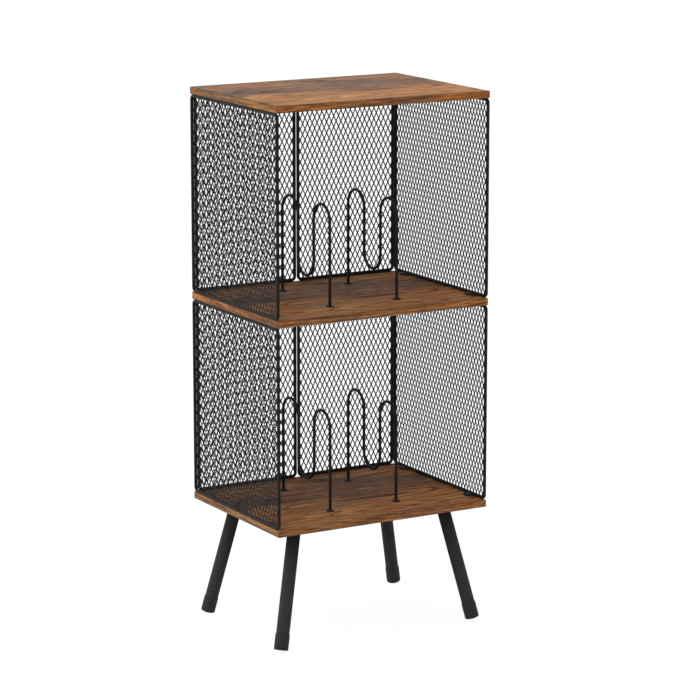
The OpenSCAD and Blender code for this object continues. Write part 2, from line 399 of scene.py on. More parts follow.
# %% The stain
SAND = srgb(212, 148, 88)
GOLDEN = srgb(190, 125, 68)
BROWN = srgb(149, 105, 70)
UMBER = srgb(117, 89, 71)
GREY_BROWN = srgb(84, 69, 61)
STAIN_TONES = [(0.0, SAND), (0.25, GOLDEN), (0.5, BROWN), (0.75, UMBER), (1.0, GREY_BROWN)]

# Tints of the blushes that are laid over the stain: a cool one, none, and a warm one
ASH = (0.88, 1.0, 1.2, 1.0)
PLAIN = (1.0, 1.0, 1.0, 1.0)
RUST = (1.14, 0.94, 0.82, 1.0)
BLUSH_TINTS = [(0.42, ASH), (0.5, PLAIN), (0.58, RUST)]
BLUSH_SHARE = 0.8

# Each noise's repeats per metre, along the grain, across it and into the board, and how far
# the noise pulls the stain up and down
CLOUDS, CLOUD_PULL = (5, 15, 1), 1.1
STREAKS, STREAK_PULL = (6, 95, 1), 1.8
MOTTLE, MOTTLE_PULL = (40, 150, 1), 1.7
BLUSHES = (8, 34, 1)


def stain(finish, grain, streak, level):
    """The colour of stained wood: patches round a level of stain, under the blushes."""
    cloud = finish.noise(grain, CLOUDS, detail=2)
    mottle = finish.noise(grain, MOTTLE, detail=3, roughness=0.7)
    patches = (cloud - 0.5) * CLOUD_PULL + (streak - 0.5) * STREAK_PULL
    tone = finish.ramp(STAIN_TONES, level + (patches + (mottle - 0.5) * MOTTLE_PULL))
    blush = finish.ramp(BLUSH_TINTS, finish.noise(grain, BLUSHES, detail=2))
    return finish.mixed(BLUSH_SHARE, tone, blush, "MULTIPLY")


print("the stain runs through", len(STAIN_TONES), "tones, from sand to grey-brown")


# %% The growth lines
LINE_BROWN = srgb(60, 38, 26)
RUST_BROWN = srgb(104, 62, 38)
WANDER = (2.2, 12, 1)
GROWTH = (1.5, 9, 1)
PATCHES = (4, 11, 1)

# How far the lines sway, how many lie between the noise's 0 and 1 and in a metre, how dark
# one is from its soft side to its hard side, and how much closer the finer set lies
SWAY = 20 * MM
LINES_IN_GROWTH = 16
LINES_A_METRE = 42
LINE_PROFILE = [(0.0, 0.0), (0.4, 0.05), (0.75, 0.5), (0.9, 1.0), (1.0, 0.0)]
FINER = (1.4, 1.7, 1)

# How strong the lines are over a patchy noise, and the finer set from front to back
PATCH_SHARES = [(0.38, 0.6), (0.6, 1.0)]
FINER_SHARES = [(0.05, 1.0), (0.5, 0.3)]


def growth_lines(finish, grain):
    """Dark lines, soft on one side and hard on the other, that wander along the grain."""
    wander = finish.noise(grain, WANDER, detail=2)
    sway = finish.node("CombineXYZ", {}, {"Y": (wander - 0.5) * SWAY})
    swayed = finish.node("VectorMath", {"operation": "ADD"}, {0: grain, 1: sway})
    across = finish.node("SeparateXYZ", {}, {"Vector": swayed}, output="Y")
    growth = finish.noise(swayed, GROWTH, detail=1)
    line = finish.maths("FRACT", growth * LINES_IN_GROWTH + across * LINES_A_METRE)
    return finish.ramp(LINE_PROFILE, line)


def lined(finish, grain, tone, inwards, strength):
    """Draws the growth lines on a tone: a patchy wide set, and a finer one towards the front."""
    patchy = finish.ramp(PATCH_SHARES, finish.noise(grain, PATCHES))
    tone = finish.mixed(growth_lines(finish, grain) * patchy * strength, tone, LINE_BROWN)
    finer = finish.node("VectorMath", {"operation": "MULTIPLY"}, {0: grain, 1: FINER})
    nearer = finish.ramp(FINER_SHARES, inwards)
    return finish.mixed(growth_lines(finish, finer) * nearer * strength, tone, RUST_BROWN)


print("where the growth noise is even, a line comes every", round(1 / LINES_A_METRE / MM), "mm")


# %% The whole print
board_low, board_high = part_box("top_board")
BOARD_DEPTH = round((board_high - board_low).y, 4)

# How dark the stain is from the front edge of a board to its back edge
STAIN_BELT = [(0.0, 0.15), (0.24, 0.15), (0.4, 0.27), (0.56, 0.82), (0.76, 0.56), (1.0, 0.55)]

# Tints of a whole face or edge strip. They paint the cool grey sheen that the white room lends it:
# a slight one on the faces and a stronger one on the short edges
PAINTED_SHEEN_ON_FACES = (1.01, 1.07, 1.18, 1.0)
PAINTED_SHEEN_ON_SHORT_EDGES = (0.87, 1.02, 1.24, 1.0)

# Fibres lighten and darken the print, and pores are dark and pressed in
FIBRES = (16, 900, 1)
FIBRE_GREYS = [(0.25, 0.74), (0.75, 1.26)]
FIBRE_SHARE = 0.8
PORES = (60, 1300, 1)
PORE_SHARES = [(0.34, 1.0), (0.44, 0.0)]
PORE_DARKNESS = 0.35
PRESSED = 0.03 * MM
RESIN_ROUGHNESS = 0.36
RESIN_SHINE = 0.012


def laminate(name, lay, belt, even, lines, tint):
    """The print, laid one way. belt and even are the shares of the stain's belt and of an even
    stain, and lines is the strength of the growth lines."""
    finish = Finish(name)
    placed = finish.placed()
    grain = finish.node("Mapping", {}, {"Vector": placed, **lay})
    along_y = finish.node("SeparateXYZ", {}, {"Vector": placed}, output="Y")
    inwards = along_y * (1 / BOARD_DEPTH) + 0.5
    streak = finish.noise(grain, STREAKS, detail=3, roughness=0.65)
    tone = stain(finish, grain, streak, finish.ramp(STAIN_BELT, inwards) * belt + even)
    # The tint multiplies a painted sheen into the faces and the short edges
    tone = lined(finish, grain, finish.mixed(1.0, tone, tint, "MULTIPLY"), inwards, lines)
    fibre = finish.noise(grain, FIBRES, detail=2, roughness=0.6)
    tone = finish.mixed(FIBRE_SHARE, tone, finish.ramp(FIBRE_GREYS, fibre), "MULTIPLY")
    pores = finish.ramp(PORE_SHARES, finish.noise(grain, PORES, detail=1))
    return finish.done(
        Base_Color=finish.mixed(pores * PORE_DARKNESS, tone, LINE_BROWN),
        Roughness=RESIN_ROUGHNESS + fibre * 0.1 + pores * 0.15,
        Specular_IOR_Level=RESIN_SHINE,
        Normal=finish.bump(fibre * 0.5 + streak * 0.3 - pores * 0.6, PRESSED),
    )


# Where it lies: its lay, the shares of its belt and its even stain, its lines and its tint, which
# paints a sheen on the faces and the short edges
PRINTS = {
    "face": (ON_FACES, 1.0, 0.0, 1.0, PAINTED_SHEEN_ON_FACES),
    "long_edge": (ON_LONG_EDGES, 0.0, 0.38, 0.7, PLAIN),
    "short_edge": (ON_SHORT_EDGES, 0.0, 0.46, 0.45, PAINTED_SHEEN_ON_SHORT_EDGES),
}
LAMINATE = {where: laminate(f"rustic_laminate_{where}", *how) for where, how in PRINTS.items()}
for where, finish in LAMINATE.items():
    print("the print on a", where, "has", len(finish.node_tree.nodes), "nodes")


# %% The cut edge
CHIPS = (160, 160, 160)
CHIP_DEPTH = 0.05 * MM


def cut_arris(name):
    """The trimmed edge, where the cutter goes through the print to a darker core."""
    finish = Finish(name)
    placed = finish.placed()
    speck = finish.noise(placed, CHIPS, detail=3)
    return finish.done(
        Base_Color=finish.mixed(speck, LINE_BROWN, UMBER),
        Roughness=0.5 + speck * 0.2,
        Specular_IOR_Level=0.02,
        Normal=finish.bump(speck, CHIP_DEPTH),
    )


LAMINATE_ARRIS = cut_arris("rustic_laminate_arris")
print("the cut edge has", len(LAMINATE_ARRIS.node_tree.nodes), "nodes")

# %% [markdown]
# ## Black finishes
#
# Powder coat is a paint that is baked on as dust. It flows into a skin with a faint orange
# peel and a satin shine, and it is never quite even. Zinc on the fasteners is thinner and
# more metallic, and the foot caps are a moulded plastic with a fine matt grain. Close up the
# difference is in the relief and the shine, so each has its own size of bump.


# %% Powder coat
ORANGE_PEEL = (900, 900, 900)
PEEL_DEPTH = 0.04 * MM
DUST = (35, 35, 35)
DUST_LIGHT = 1.35


def powder_coat(name, tone, shine):
    """Satin black paint over steel, with orange peel about 1 mm across."""
    finish = Finish(name)
    placed = finish.placed()
    peel = finish.noise(placed, ORANGE_PEEL, detail=1)
    dust = finish.noise(placed, DUST, detail=3)
    light = tuple(value * DUST_LIGHT for value in tone[:3]) + (1.0,)
    return finish.done(
        Base_Color=finish.mixed(dust, tone, light),
        Roughness=0.38 + dust * 0.16,
        Specular_IOR_Level=shine,
        Normal=finish.bump(peel, PEEL_DEPTH, strength=0.5),
    )


WIRE_COAT = powder_coat("satin_black_wire_coat", srgb(31, 30, 29), shine=0.09)
TUBE_COAT = powder_coat("satin_black_tube_coat", srgb(52, 52, 52), shine=0.06)
MESH_COAT = powder_coat("satin_black_mesh_coat", srgb(36, 35, 34), shine=0.05)
for finish in (WIRE_COAT, TUBE_COAT, MESH_COAT):
    print(finish.name, "has", len(finish.node_tree.nodes), "nodes")


# %% Zinc and plastic
ZINC_BLACK = srgb(48, 47, 48)
ZINC_WORN = srgb(82, 80, 80)
ZINC_BLOOM = (260, 260, 260)
ZINC_GRAIN = (1500, 1500, 1500)
ZINC_RELIEF = 0.01 * MM
PLASTIC_BLACK = srgb(42, 42, 43)
PLASTIC_RUBBED = srgb(58, 58, 59)
PLASTIC_SCUFFS = (90, 90, 25)
PLASTIC_GRAIN = (2200, 2200, 2200)
PLASTIC_RELIEF = 0.03 * MM


def black_zinc(name):
    """Blackened zinc plating, a little brighter where it was handled."""
    finish = Finish(name)
    placed = finish.placed()
    bloom = finish.noise(placed, ZINC_BLOOM, detail=3)
    plated = finish.noise(placed, ZINC_GRAIN, detail=1)
    return finish.done(
        Base_Color=finish.mixed(bloom, ZINC_BLACK, ZINC_WORN),
        Metallic=0.85,
        Roughness=0.30 + bloom * 0.2,
        Normal=finish.bump(plated, ZINC_RELIEF, strength=0.4),
    )


def foot_plastic(name):
    """Moulded black plastic with a spark-eroded grain."""
    finish = Finish(name)
    placed = finish.placed()
    grain = finish.noise(placed, PLASTIC_GRAIN, detail=2)
    scuff = finish.noise(placed, PLASTIC_SCUFFS, detail=3)
    return finish.done(
        Base_Color=finish.mixed(scuff, PLASTIC_BLACK, PLASTIC_RUBBED),
        Roughness=0.52 + scuff * 0.15,
        Specular_IOR_Level=0.12,
        Normal=finish.bump(grain, PLASTIC_RELIEF, strength=0.6),
    )


FASTENER_ZINC = black_zinc("black_zinc_plating")
FOOT_PLASTIC = foot_plastic("black_foot_plastic")
for finish in (FASTENER_ZINC, FOOT_PLASTIC):
    print(finish.name, "has", len(finish.node_tree.nodes), "nodes")

# %% [markdown]
# ## Handing a piece over
#
# A finished piece gets its material, rides on the stand's one body and stands for its solid,
# which is then no longer shown. Big flat faces stay flat shaded and small rounding faces are
# shaded smooth, so that light doesn't smear across a board from its arris.


# %% Shade and hand over
def shade_round(piece, degrees=40):
    """Smooth shading, with a hard edge where two faces meet at more than this angle."""
    hold(piece)
    bpy.ops.object.shade_smooth_by_angle(angle=math.radians(degrees))


def shade_flats(piece, largest_round_face):
    """Smooth shading on the small faces only, which are the rounded edges."""
    for face in piece.data.polygons:
        face.use_smooth = face.area < largest_round_face


SHOWN = "_shown"


def hand_over(piece, node, finish=None):
    """Lets a piece stand for one node, and gives it a finish if it has none yet."""
    piece.name = piece.data.name = node + SHOWN
    if finish:
        piece.data.materials.append(finish)
    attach(piece, "root")
    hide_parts(node)
    return piece


# %% [markdown]
# ## The boards
#
# A board is sawn, its faces are laminated, and a strip of the same print is glued round its
# edges and trimmed with a small round cutter. That leaves a softened arris and, just inside
# it, a hair-line seam where strip and face meet. So the box is not left a box: its top and
# underside are inset once for the strip and twice more for the seam's two sides, and its
# twelve edges are bevelled.

# %% Boards
BAND_THICKNESS = 1.0 * MM
SEAM_WIDTH = 0.12 * MM
ARRIS = 0.7 * MM
ARRIS_STEPS = 3
# A face whose normal has this share along an axis faces that way
SQUARE_ON = 0.99
# In the order of the axes that the sides face, with the arrises last
BOARD_FINISHES = [LAMINATE[where] for where in ("short_edge", "long_edge", "face")]
CUT_ARRIS = len(BOARD_FINISHES)
BOARD_FINISHES.append(LAMINATE_ARRIS)


def level_face(face):
    """True for a face that looks up or down."""
    return abs(face.normal.z) > SQUARE_ON


def outer_edge(edge, low, high):
    """True for an edge that lies on two sides of the box."""
    place = middle(edge)
    reach = [min(abs(place[axis] - low[axis]), abs(place[axis] - high[axis])) for axis in range(3)]
    return sum(distance < WELD for distance in reach) == 2


def board(node):
    """A board with edge strips, a seam inside them and softened edges."""
    low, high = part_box(node)
    clear_bench()
    bpy.ops.mesh.primitive_cube_add(size=1, location=(low + high) / 2, scale=high - low)
    piece = started(node)
    open_up(piece)
    pick("FACE", level_face)
    bpy.ops.mesh.inset(thickness=BAND_THICKNESS, use_individual=True)
    bpy.ops.mesh.inset(thickness=SEAM_WIDTH, depth=-SEAM_WIDTH, use_individual=True)
    bpy.ops.mesh.inset(thickness=SEAM_WIDTH, depth=SEAM_WIDTH, use_individual=True)
    pick("EDGE", lambda edge: outer_edge(edge, low, high))
    bpy.ops.mesh.bevel(offset=ARRIS, segments=ARRIS_STEPS, affect="EDGES")
    clear_bench()
    for finish in BOARD_FINISHES:
        piece.data.materials.append(finish)
    for face in piece.data.polygons:
        facing = max(range(3), key=lambda axis: abs(face.normal[axis]))
        face.material_index = facing if abs(face.normal[facing]) > SQUARE_ON else CUT_ARRIS
    shade_flats(piece, largest_round_face=1.2 * ARRIS * (high.x - low.x))
    return hand_over(piece, node)


for name in ("top_board", "middle_board", "bottom_board"):
    made = board(name)
    print(made.name, len(made.data.polygons), "faces")

# %% [markdown]
# ## Bending wire
#
# A panel's frame and a divider are one wire each, fed straight out of a machine and bent
# round a pin. The same moves make the mesh: a ring of edges is extruded for a straight run
# and spun for a bend, in the XZ plane. A closed frame ends where it started, so its last ring
# merges with its first. Seen from the front, the spin tool turns anticlockwise about +Y.


# %% The bending machine
WIRE_SIDES = 24
STEPS_A_QUARTER = 8
WIRE_CHAMFER = 0.5 * MM


def bent_wire(name, thickness, start, moves, closed=False):
    """Feeds wire upwards from a place in the XZ plane. A move is (length, radius, angle):
    a straight run, then a bend in degrees, anticlockwise where it is positive."""
    clear_bench()
    bpy.ops.mesh.primitive_circle_add(vertices=WIRE_SIDES, radius=thickness / 2, location=start)
    piece = started(name)
    open_up(piece)
    pick_all()
    place = Vector(start)
    heading = QUARTER
    for length, radius, angle in moves:
        run = Vector((math.cos(heading), 0, math.sin(heading))) * length
        bpy.ops.mesh.extrude_edges_move(TRANSFORM_OT_translate={"value": run})
        place += run
        if angle:
            turn = math.radians(angle)
            to_pin = heading + math.copysign(QUARTER, turn)
            pin = place + Vector((math.cos(to_pin), 0, math.sin(to_pin))) * radius
            steps = round(STEPS_A_QUARTER * abs(turn) / QUARTER)
            bpy.ops.mesh.spin(steps=steps, angle=turn, center=pin, axis=(0, 1, 0))
            heading += turn
            from_pin = to_pin + math.pi + turn
            place = pin + Vector((math.cos(from_pin), 0, math.sin(from_pin))) * radius
    finish_wire(piece, closed)
    return piece


def finish_wire(piece, closed):
    """Closes a loop of wire, or gives a free wire two chamfered ends."""
    weld_open()
    if not closed:
        pick_rims()
        bpy.ops.mesh.fill_holes(sides=WIRE_SIDES)
        pick("EDGE", lambda edge: any(len(face.verts) == WIRE_SIDES for face in edge.link_faces))
        bpy.ops.mesh.bevel(offset=WIRE_CHAMFER, segments=1, affect="EDGES")
    close_up()
    shade_round(piece)


# %% [markdown]
# ## Panel frames
#
# Each frame is a rounded rectangle of 5.5 mm wire. It is bent once in the size of a side panel
# and once in the size of a back panel, and copied to its four places. A side frame is the
# same shape turned by a quarter round the upright axis.

# %% Panel frames
CORNER_RADIUS = 6 * MM


def frame_loop(name, width, height, thickness):
    """A rounded rectangle of wire round the origin, in the XZ plane."""
    reach_x = (width - thickness) / 2
    reach_z = (height - thickness) / 2
    upright = reach_z - CORNER_RADIUS
    across = 2 * (reach_x - CORNER_RADIUS)
    moves = [
        (upright, CORNER_RADIUS, 90),
        (across, CORNER_RADIUS, 90),
        (2 * upright, CORNER_RADIUS, 90),
        (across, CORNER_RADIUS, 90),
        (upright, 0, 0),
    ]
    return bent_wire(name, thickness, (reach_x, 0, 0), moves, closed=True)


def panel_size(node):
    """The width, height and thickness of an upright panel, whichever way it faces."""
    low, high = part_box(node)
    size = high - low
    return max(size.x, size.y), size.z, min(size.x, size.y)


def panel_place(node):
    """The middle of a panel, and its turn round the upright axis."""
    low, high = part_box(node)
    size = high - low
    return (low + high) / 2, (0, 0, QUARTER if size.y > size.x else 0)


TIERS = ("lower", "upper")
SIDE_PANELS = [f"{tier}_{side}" for tier in TIERS for side in ("left", "right")]
BACK_PANELS = [f"{tier}_back_{side}" for tier in TIERS for side in ("left", "right")]
WIRE = round(panel_size("lower_left_frame")[2] / MM, 1) * MM

for panels in (SIDE_PANELS, BACK_PANELS):
    width, height, _ = panel_size(panels[0] + "_frame")
    pattern = frame_loop("frame_pattern", width, height, WIRE)
    for panel in panels:
        node = panel + "_frame"
        piece = put(copy_of(pattern, node), *panel_place(node))
        hand_over(piece, node, WIRE_COAT)
    size = [round(length / MM, 1) for length in (width, height)]
    print(panels[0], "frame:", size, "mm,", len(pattern.data.polygons), "faces")
    scrap(pattern)

# %% [markdown]
# ## Diamond mesh
#
# Expanded mesh starts as a thin sheet with rows of short slits. Pulled sideways, each slit
# opens into a diamond and each strand twists a little, because it is held at both ends. The
# whole net is one small shape over and over: a knuckle with four half strands. Its middle is
# a diamond that leans, and each of its edges is extruded along a strand to the halfway point,
# where it meets the next knuckle's edge exactly.
#
# One knuckle has a few dozen faces, because a side panel has over a thousand of them.

# %% One knuckle
DIAMOND_WIDTH = 9.4 * MM
DIAMOND_HEIGHT = 18.8 * MM
STRAND_WIDTH = 1.95 * MM
SHEET_THICKNESS = 0.8 * MM
TWIST = 0.28 * MM
STRAND_ARRIS = 0.13 * MM
SHARP = math.radians(50)


def knuckle():
    """A knuckle of the net in the XY plane, with four half strands."""
    slant = math.hypot(DIAMOND_WIDTH, DIAMOND_HEIGHT)
    half_width = STRAND_WIDTH * slant / DIAMOND_HEIGHT / 2
    half_height = STRAND_WIDTH * slant / DIAMOND_WIDTH / 2
    reach_x = DIAMOND_WIDTH / 4 - half_width / 2
    reach_y = DIAMOND_HEIGHT / 4 - half_height / 2
    clear_bench()
    bpy.ops.mesh.primitive_circle_add(vertices=4, radius=1, fill_type="NGON")
    piece = started("knuckle")
    open_up(piece)
    pick_all()
    bpy.ops.transform.resize(value=(half_width, half_height, 1))
    for side in (-1, 1):
        pick("VERT", lambda corner: corner.co.x * side > half_width / 2)
        bpy.ops.transform.translate(value=(0, 0, side * TWIST))
    for side in (-1, 1):
        for end in (-1, 1):
            pick("EDGE", lambda edge: middle(edge).x * side > 0 and middle(edge).y * end > 0
                 and abs(middle(edge).x) < half_width and abs(middle(edge).y) < half_height)
            run = (side * reach_x, end * reach_y, -side * TWIST / 2)
            bpy.ops.mesh.extrude_edges_move(TRANSFORM_OT_translate={"value": run})
    close_up()
    work(piece, "SOLIDIFY", thickness=SHEET_THICKNESS, offset=0)
    open_up(piece)
    pick("FACE", lambda face: abs(abs(middle(face).x) - DIAMOND_WIDTH / 4) < WELD
         and abs(abs(middle(face).y) - DIAMOND_HEIGHT / 4) < WELD)
    bpy.ops.mesh.delete(type="FACE")
    clear_bench()
    work(piece, "BEVEL", width=STRAND_ARRIS, segments=1, limit_method="ANGLE", angle_limit=SHARP)
    return piece


net_cell = knuckle()
print("a knuckle has", len(net_cell.data.polygons), "faces")

# %% [markdown]
# Two knuckles, half a diamond apart each way, tile the plane. Two Array modifiers lay them out
# over a sheet that is larger than the panel, the touching ends are welded, and the sheet is
# trimmed along the middle of its frame's wire, where the strands are welded on the real
# panel. At each rounded corner three slanting cuts follow the bend. Every cut is closed.

# %% A sheet of net, cut to its frame
CORNER_CUTS = (22.5, 45, 67.5)


def net_sheet(name, width, height):
    """A sheet of net round the origin in the XZ plane."""
    second = copy_of(net_cell, "second_knuckle")
    put(second, (DIAMOND_WIDTH / 2, DIAMOND_HEIGHT / 2, 0))
    sheet = joined(name, [copy_of(net_cell, name), second])
    columns = math.ceil(width / DIAMOND_WIDTH) + 2
    rows = math.ceil(height / DIAMOND_HEIGHT) + 2
    corner = (-columns // 2 * DIAMOND_WIDTH + DIAMOND_WIDTH / 2, -rows // 2 * DIAMOND_HEIGHT, 0)
    put(sheet, corner)
    repeats = ((columns, (DIAMOND_WIDTH, 0, 0)), (rows, (0, DIAMOND_HEIGHT, 0)))
    for count, step in repeats:
        work(sheet, "ARRAY", count=count, use_relative_offset=False,
             use_constant_offset=True, constant_offset_displace=step)
    open_up(sheet)
    weld_open()
    trim(width, height)
    clear_bench()
    return put(sheet, turn=(QUARTER, 0, 0))


def trim(width, height):
    """Cuts the open sheet to a rounded rectangle."""
    cuts = [((side * width / 2, 0, 0), (side, 0, 0)) for side in (-1, 1)]
    cuts += [((0, end * height / 2, 0), (0, end, 0)) for end in (-1, 1)]
    pin_x = width / 2 - CORNER_RADIUS
    pin_y = height / 2 - CORNER_RADIUS
    for side in (-1, 1):
        for end in (-1, 1):
            pin = Vector((side * pin_x, end * pin_y, 0))
            for angle in CORNER_CUTS:
                turn = math.radians(angle)
                out = Vector((side * math.cos(turn), end * math.sin(turn), 0))
                cuts.append((pin + out * CORNER_RADIUS, out))
    for place, out in cuts:
        pick_all()
        bpy.ops.mesh.bisect(plane_co=place, plane_no=out, clear_outer=True, use_fill=True)


# The strands all lean one way. These sheets are turned over, so that the sides mirror
TURNED_OVER = ("lower_right", "upper_right")

for panels in (SIDE_PANELS, BACK_PANELS):
    width, height, _ = panel_size(panels[0] + "_frame")
    pattern = net_sheet("net_pattern", width - WIRE, height - WIRE)
    for panel in panels:
        node = panel + "_mesh"
        net = copy_of(pattern, node)
        if panel in TURNED_OVER:
            put(net, turn=(math.pi, 0, 0))
        hand_over(put(net, *panel_place(panel + "_frame")), node, MESH_COAT)
    print(panels[0], "net:", len(pattern.data.polygons), "faces")
    scrap(pattern)
scrap(net_cell)

# %% [markdown]
# ## Dividers
#
# A divider is one wire: up from its foot, over a hump, down, round a dip, up, over a second
# hump and down to the other foot. All three bends have the same radius, and the ends go
# through the board as threaded studs.

# %% Dividers
DIVIDER_WIRE = 5 * MM
DIVIDER_RISE = 37 * MM


def divider_shape(name, low, high, feet):
    """A divider in the XZ plane, standing on the board's face at the height of its feet."""
    # Three bends side by side are six radii wide, measured along the wire's middle
    radius = (high.y - low.y - DIVIDER_WIRE) / 6
    top = high.z - DIVIDER_WIRE / 2 - radius
    dip = feet + DIVIDER_RISE + DIVIDER_WIRE / 2 + radius
    moves = [
        (top - low.z, radius, -180),
        (top - dip, radius, 180),
        (top - dip, radius, -180),
        (top - low.z, 0, 0),
    ]
    return bent_wire(name, DIVIDER_WIRE, (-3 * radius, 0, low.z), moves)


for tier in TIERS:
    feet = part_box(f"{tier}_divider_flanges")[0].z
    for side in ("left", "right"):
        node = f"{tier}_{side}_divider"
        low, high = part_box(node)
        piece = divider_shape(node, low, high, feet)
        put(piece, ((low.x + high.x) / 2, 0, 0), (0, 0, QUARTER))
        hand_over(piece, node, WIRE_COAT)
        print(piece.name, len(piece.data.polygons), "faces")

# %% [markdown]
# ## Turned parts
#
# Washers, flanges, screw heads, tubes and foot caps are all turned shapes. A lathe cuts one
# outline round an axis. Here a ring of edges is extruded from one point of the outline to the
# next, and resized to that point's radius. A hollow part's outline comes back to its start.
# A solid one is closed by a face at each end.


# %% A lathe
def turned(name, outline, sides=32, hollow=False):
    """Turns an outline of (radius, height) points round the Z axis."""
    radius, height = outline[0]
    clear_bench()
    bpy.ops.mesh.primitive_circle_add(vertices=sides, radius=radius, location=(0, 0, height))
    piece = started(name)
    open_up(piece)
    pick_all()
    for next_radius, next_height in outline[1:] + (outline[:1] if hollow else []):
        rise = (0, 0, next_height - height)
        bpy.ops.mesh.extrude_edges_move(TRANSFORM_OT_translate={"value": rise})
        share = next_radius / radius
        bpy.ops.transform.resize(value=(share, share, 1), center_override=(0, 0, 0))
        radius, height = next_radius, next_height
    weld_open()
    if not hollow:
        pick_rims()
        bpy.ops.mesh.fill_holes(sides=sides)
    close_up()
    shade_round(piece)
    return piece


def arc(middle_radius, middle_height, round_off, start, end, steps=3):
    """Outline points along an arc, with angles in degrees from outwards towards up."""
    points = []
    for step in range(steps + 1):
        angle = math.radians(start + (end - start) * step / steps)
        points.append((middle_radius + round_off * math.cos(angle),
                       middle_height + round_off * math.sin(angle)))
    return points


def cut_away(piece, *cutters):
    """Cuts the cutters' shapes out of a piece."""
    for cutter in cutters:
        work(piece, "BOOLEAN", object=cutter, operation="DIFFERENCE", solver="EXACT")
    scrap(*cutters)


# %% [markdown]
# ### Flanges, washers and nuts
#
# A round flange is welded to each foot of a divider and keeps the wire from sinking through
# its hole. Its top rim is rounded, and the weld leaves a small fillet at the wire. Below the
# board sit a washer and a nut. A nut's corners are turned off at both ends, so its blank is
# a turned disc with sloping rims, cut by a hexagon.

# %% Flanges, washers and nuts
STUD_RADIUS = DIVIDER_WIRE / 2
FLANGE_FILLET = 0.9 * MM
RIM = 0.3 * MM
NUT_CHAMFER = math.radians(30)
NUT_CORNER = math.radians(30)


def flange(radius, thickness):
    """A ring on z = 0 with a rounded rim and a weld's fillet round the wire."""
    outline = [(STUD_RADIUS, 0), (radius, 0)]
    outline += arc(radius - 2 * RIM, thickness - 2 * RIM, 2 * RIM, 0, 90)
    outline += [(STUD_RADIUS + FLANGE_FILLET, thickness)]
    outline += arc(STUD_RADIUS + FLANGE_FILLET, thickness + FLANGE_FILLET, FLANGE_FILLET, 270, 190)
    outline += [(STUD_RADIUS, thickness + FLANGE_FILLET)]
    return turned("flange", outline, hollow=True)


def washer(radius, bore, thickness):
    """A flat ring on z = 0 with its outer rims broken."""
    outline = [(bore, 0), (radius - RIM, 0), (radius, RIM), (radius, thickness - RIM)]
    outline += [(radius - RIM, thickness), (bore, thickness)]
    return turned("washer", outline, hollow=True)


def nut(flats, bore, thickness):
    """A hexagon nut on z = 0, with its bore's mouth and its corners chamfered."""
    corner = flats / 2 / math.cos(NUT_CORNER)
    slope = (corner - flats / 2) * math.tan(NUT_CHAMFER)
    outline = [(bore, RIM), (bore + RIM, 0), (flats / 2, 0), (corner, slope)]
    outline += [(corner, thickness - slope), (flats / 2, thickness)]
    outline += [(bore + RIM, thickness), (bore, thickness - RIM)]
    blank = turned("nut", outline, sides=48, hollow=True)
    clear_bench()
    bpy.ops.mesh.primitive_cylinder_add(vertices=6, radius=corner, depth=3 * thickness)
    hexagon = started("hexagon")
    work(blank, "BOOLEAN", object=hexagon, operation="INTERSECT", solver="EXACT")
    scrap(hexagon)
    shade_round(blank, degrees=20)
    return blank


def set_out(node, make, finish, upside_down=False):
    """Makes a small part in the size of a group's solids, and stands a copy on each of them."""
    boxes = solids_of(node)
    pattern = make(boxes[0][1] - boxes[0][0])
    copies = []
    for low, high in boxes:
        place = ((low.x + high.x) / 2, (low.y + high.y) / 2, high.z if upside_down else low.z)
        turn = (math.pi if upside_down else 0, 0, 0)
        copies.append(put(copy_of(pattern, node), place, turn))
    piece = joined(node, copies)
    hand_over(piece, node, finish)
    print(piece.name, len(copies), "copies,", len(piece.data.polygons), "faces")
    scrap(pattern)


def divider_flange(size):
    return flange(size.x / 2, size.z)


def divider_washer(size):
    return washer(size.x / 2, STUD_RADIUS + RIM, size.z)


def divider_nut(size):
    return nut(size.y, STUD_RADIUS, size.z)


for tier in TIERS:
    set_out(f"{tier}_divider_flanges", divider_flange, WIRE_COAT)
    set_out(f"{tier}_divider_washers", divider_washer, FASTENER_ZINC)
    set_out(f"{tier}_divider_nuts", divider_nut, FASTENER_ZINC)

# %% [markdown]
# ### Tabs
#
# The side panels are held by half-round tabs of 2 mm plate, welded into the corner between
# the wire and the board. A disc is cut in half beside the wire's middle, its rim is rounded
# by the stamping press, and a hole is drilled for the screw.

# %% Tabs
TAB_CUT = 0.3 * WIRE
TAB_SIDES = 72
HOLE_SIDES = 24
TAB_HOLE = 2.2 * MM
TAB_HOLE_IN = 8 * MM


def tab(radius, thickness):
    """A tab on z = 0 that reaches along +X from a wire that lies along Y."""
    clear_bench()
    bpy.ops.mesh.primitive_cylinder_add(vertices=TAB_SIDES, radius=radius, depth=thickness,
                                        location=(0, 0, thickness / 2))
    piece = started("tab")
    open_up(piece)
    pick_all()
    bpy.ops.mesh.bisect(plane_co=(TAB_CUT, 0, 0), plane_no=(1, 0, 0), clear_inner=True,
                        use_fill=True)
    pick("EDGE", lambda edge: middle(edge).x > TAB_CUT + WELD and
         abs(edge.verts[0].co.z - edge.verts[1].co.z) < WELD)
    bpy.ops.mesh.bevel(offset=RIM, segments=2, affect="EDGES")
    clear_bench()
    bpy.ops.mesh.primitive_cylinder_add(vertices=HOLE_SIDES, radius=TAB_HOLE, depth=3 * thickness,
                                        location=(TAB_HOLE_IN, 0, 0))
    cut_away(piece, started("drill"))
    shade_flats(piece, largest_round_face=3 * MM * MM)
    return piece


def set_tabs(panel):
    """Puts a tab in each of a side panel's four places, with its round side inwards."""
    node = panel + "_tabs"
    inwards = 0 if "left" in panel else math.pi
    frame_low, frame_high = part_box(panel + "_frame")
    wire_x = (frame_low.x + frame_high.x) / 2
    boxes = solids_of(node)
    size = boxes[0][1] - boxes[0][0]
    pattern = tab(size.x + TAB_CUT, size.z)
    copies = [put(copy_of(pattern, node), (wire_x, (low.y + high.y) / 2, low.z), (0, 0, inwards))
              for low, high in boxes]
    hand_over(joined(node, copies), node, WIRE_COAT)
    scrap(pattern)


for panel in SIDE_PANELS:
    set_tabs(panel)

